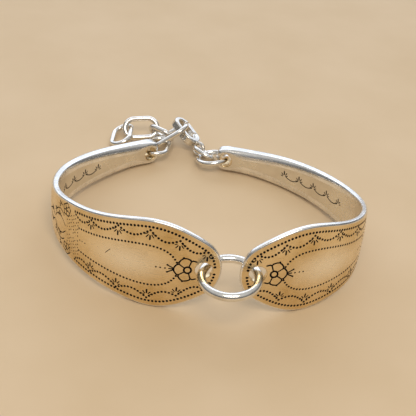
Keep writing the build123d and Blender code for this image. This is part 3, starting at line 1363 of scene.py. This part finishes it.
@dataclass
class Findings:
    """Ring, links and clasp, which keep their solids' shapes."""

    nodes: dict[str, bpy.types.Object]
    wire: tuple[str, ...] = (
        "front_ring",
        "left_stem_link",
        "right_stem_ring",
        "chain_link_1",
        "chain_link_2",
        "chain_link_3",
        "chain_link_4",
        "clasp_link",
    )
    cast: tuple[str, ...] = ("clasp_body", "clasp_lever")

    def dress(self) -> None:
        """Gives each node the finish of what it is made of."""
        wire = BRIGHT_WIRE.material()
        cast = CAST_CLASP.material()
        for name in self.wire:
            self._finish(self.nodes[name], wire)
        for name in self.cast:
            self._finish(self.nodes[name], cast)

    @staticmethod
    def _finish(node: bpy.types.Object, material: bpy.types.Material) -> None:
        """Puts a material on every slot of a node.

        Args:
            node: the node.
            material: the material.
        """
        if not node.material_slots:
            node.data.materials.append(material)
        for place in node.material_slots:
            place.material = material
        LOG.info("dressed %s with %s", node.name, material.name)


@dataclass(frozen=True)
class SoftLamp:
    """A soft rectangular lamp that faces the bracelet. Its place and size are in metres."""

    name: str
    place: tuple[float, float, float]
    size: tuple[float, float]
    power: float
    tint: str

    def hang(self) -> None:
        """Adds the lamp to the scene."""
        light = bpy.data.lights.new(self.name, "AREA")
        light.shape = "RECTANGLE"
        light.size, light.size_y = self.size
        light.energy = self.power
        light.color = linear_colour(self.tint)[:3]
        lamp = bpy.data.objects.new(self.name, light)
        lamp.location = self.place
        lamp.rotation_euler = (-Vector(self.place)).to_track_quat("-Z", "Y").to_euler()
        bpy.context.scene.collection.objects.link(lamp)


# The wide window behind, which the rims mirror, and the weaker fill in front
WINDOW = SoftLamp("window", (-0.12, 0.70, 0.42), (1.6, 0.80), 5.2, "E4EEFF")
FILL = SoftLamp("fill", (0.05, -0.30, 0.50), (0.30, 0.24), 1.3, "FFF3E2")


@dataclass
class Studio:
    """Pale floor, soft light and the camera at the photograph's angle."""

    shift: Vector
    floor_size: float = 4.0
    floor_light: str = "DEC6A4"
    floor_dark: str = "D8BF9B"
    floor_roughness: float = 0.75
    mottle_mm: float = 25.0
    room_tint: str = "D3D2D0"
    wall_strength: float = 0.26
    ceiling_strength: float = 0.88
    camera_place: tuple[float, float, float] = (-3.49, -145.12, 111.13)
    look_down: float = 36.99
    roll: float = 5.915
    focal_pixels: float = 823.6
    sensor: float = 36.0
    clip_start: float = 0.01

    MOTTLE_STOPS = (0.3, 0.7)
    # Heights of a direction at which the room's brightness leaves the walls' and reaches the ceiling's
    CEILING_RISE = (0.25, 0.80)

    def floor(self) -> None:
        """Makes the plain pale floor."""
        half = self.floor_size / 2
        mesh = bpy.data.meshes.new("floor")
        spots = [(-half, -half, 0), (half, -half, 0), (half, half, 0), (-half, half, 0)]
        mesh.from_pydata(spots, [], [(0, 1, 2, 3)])
        floor = bpy.data.objects.new("floor", mesh)
        bpy.context.scene.collection.objects.link(floor)
        # Matt painted board: scatters the light softly, with a faint mottle and no gloss
        material, shader, place = start_material("pale_board_matt")
        tree = material.node_tree
        shader.inputs["Roughness"].default_value = self.floor_roughness
        mottle = put_node(
            tree,
            "ShaderNodeTexNoise",
            values={"Scale": 1000 / self.mottle_mm, "Detail": 3.0},
            links={"Vector": place},
        )
        tone = put_node(tree, "ShaderNodeValToRGB", links={"Fac": mottle.outputs["Fac"]})
        low, high = self.MOTTLE_STOPS
        ramp_stops(
            tone, [(low, linear_colour(self.floor_dark)), (high, linear_colour(self.floor_light))]
        )
        tree.links.new(tone.outputs["Color"], shader.inputs["Base Color"])
        mesh.materials.append(material)

    def light(self) -> None:
        """Hangs the lamps, and sets a room that is dim at its walls and bright overhead."""
        WINDOW.hang()
        FILL.hang()
        world = bpy.data.worlds.new("studio")
        bpy.context.scene.world = world
        world.use_nodes = True
        tree = world.node_tree
        back = tree.nodes["Background"]
        back.inputs["Color"].default_value = linear_colour(self.room_tint)
        way = put_node(tree, "ShaderNodeTexCoord").outputs["Generated"]
        height = put_node(tree, "ShaderNodeSeparateXYZ", links={"Vector": way}).outputs["Z"]
        ceiling = put_node(
            tree,
            "ShaderNodeMapRange",
            settings={"interpolation_type": "SMOOTHSTEP"},
            values={
                "From Min": self.CEILING_RISE[0],
                "From Max": self.CEILING_RISE[1],
                "To Min": self.wall_strength,
                "To Max": self.ceiling_strength,
            },
            links={"Value": height},
        )
        tree.links.new(ceiling.outputs[0], back.inputs["Strength"])
        bpy.context.scene.view_settings.view_transform = "Standard"

    def camera(self) -> None:
        """Sets the camera at the photograph's angle."""
        data = bpy.data.cameras.new("camera")
        data.sensor_width = self.sensor
        data.lens = self.focal_pixels * self.sensor / IMAGE_PIXELS
        data.clip_start = self.clip_start
        camera = bpy.data.objects.new("camera", data)
        bpy.context.scene.collection.objects.link(camera)
        down, roll = math.radians(self.look_down), math.radians(self.roll)
        ahead = Vector((0, math.cos(down), -math.sin(down)))
        right = Vector((1, 0, 0))
        up = right.cross(ahead)
        x_axis = right * math.cos(roll) + up * math.sin(roll)
        y_axis = up * math.cos(roll) - right * math.sin(roll)
        turn = Matrix((x_axis, y_axis, -ahead)).transposed().to_4x4()
        spot = (Vector(self.camera_place) + self.shift) * MM
        camera.matrix_world = Matrix.Translation(spot) @ turn
        bpy.context.scene.camera = camera


def corners(box: tuple[Vector, Vector]) -> list[list[float]]:
    """A box as plain lists of numbers."""
    return [list(corner) for corner in box]


def main() -> None:
    """Loads the frame, builds and dresses each piece, logs the shift, and sets up the floor, the light and
    the camera.
    """
    logging.basicConfig(level=logging.INFO, format="%(message)s")
    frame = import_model()
    low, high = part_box("front_ring")
    shift = (low + high) / 2 / MM - Vector(RING_MIDDLE)
    LOG.info("shift %s", [round(v, 3) for v in shift])

    finishes = {
        Skin.PLATE: WORN_PLATE.material(),
        Skin.RECESS: OXIDE.material(),
        Skin.WRIST: WRIST_PLATE.material(),
        Skin.RIM: RUBBED_RIM.material(),
    }
    handles = [
        SpoonHandle(
            side=Side.LEFT,
            tip_x=0.247,
            tip_y=-28.94,
            heading=-13.6,
            turns=(13.0, 20.5, 27.0, 22.5, 38.5, 18.0, 23.0),
            tilt=math.radians(7.7786),
            lift=5.4012,
            shift=shift,
            extra_cuts=[STRAY_SCRATCH],
        ),
        SpoonHandle(
            side=Side.RIGHT,
            tip_x=3.616,
            tip_y=-29.98,
            heading=3.7,
            turns=(15.0, 20.5, 35.5, 35.0, 19.5, 20.0, 29.0),
            tilt=math.radians(8.0440),
            lift=5.7117,
            shift=shift,
        ),
    ]
    for handle in handles:
        piece = handle.build()
        handle.dress(piece, finishes)
        LOG.info("built %s: %d faces", piece.name, len(piece.data.polygons))
    Findings(frame["nodes"]).dress()

    studio = Studio(shift)
    studio.floor()
    studio.light()
    studio.camera()


if __name__ == "__main__":
    main()
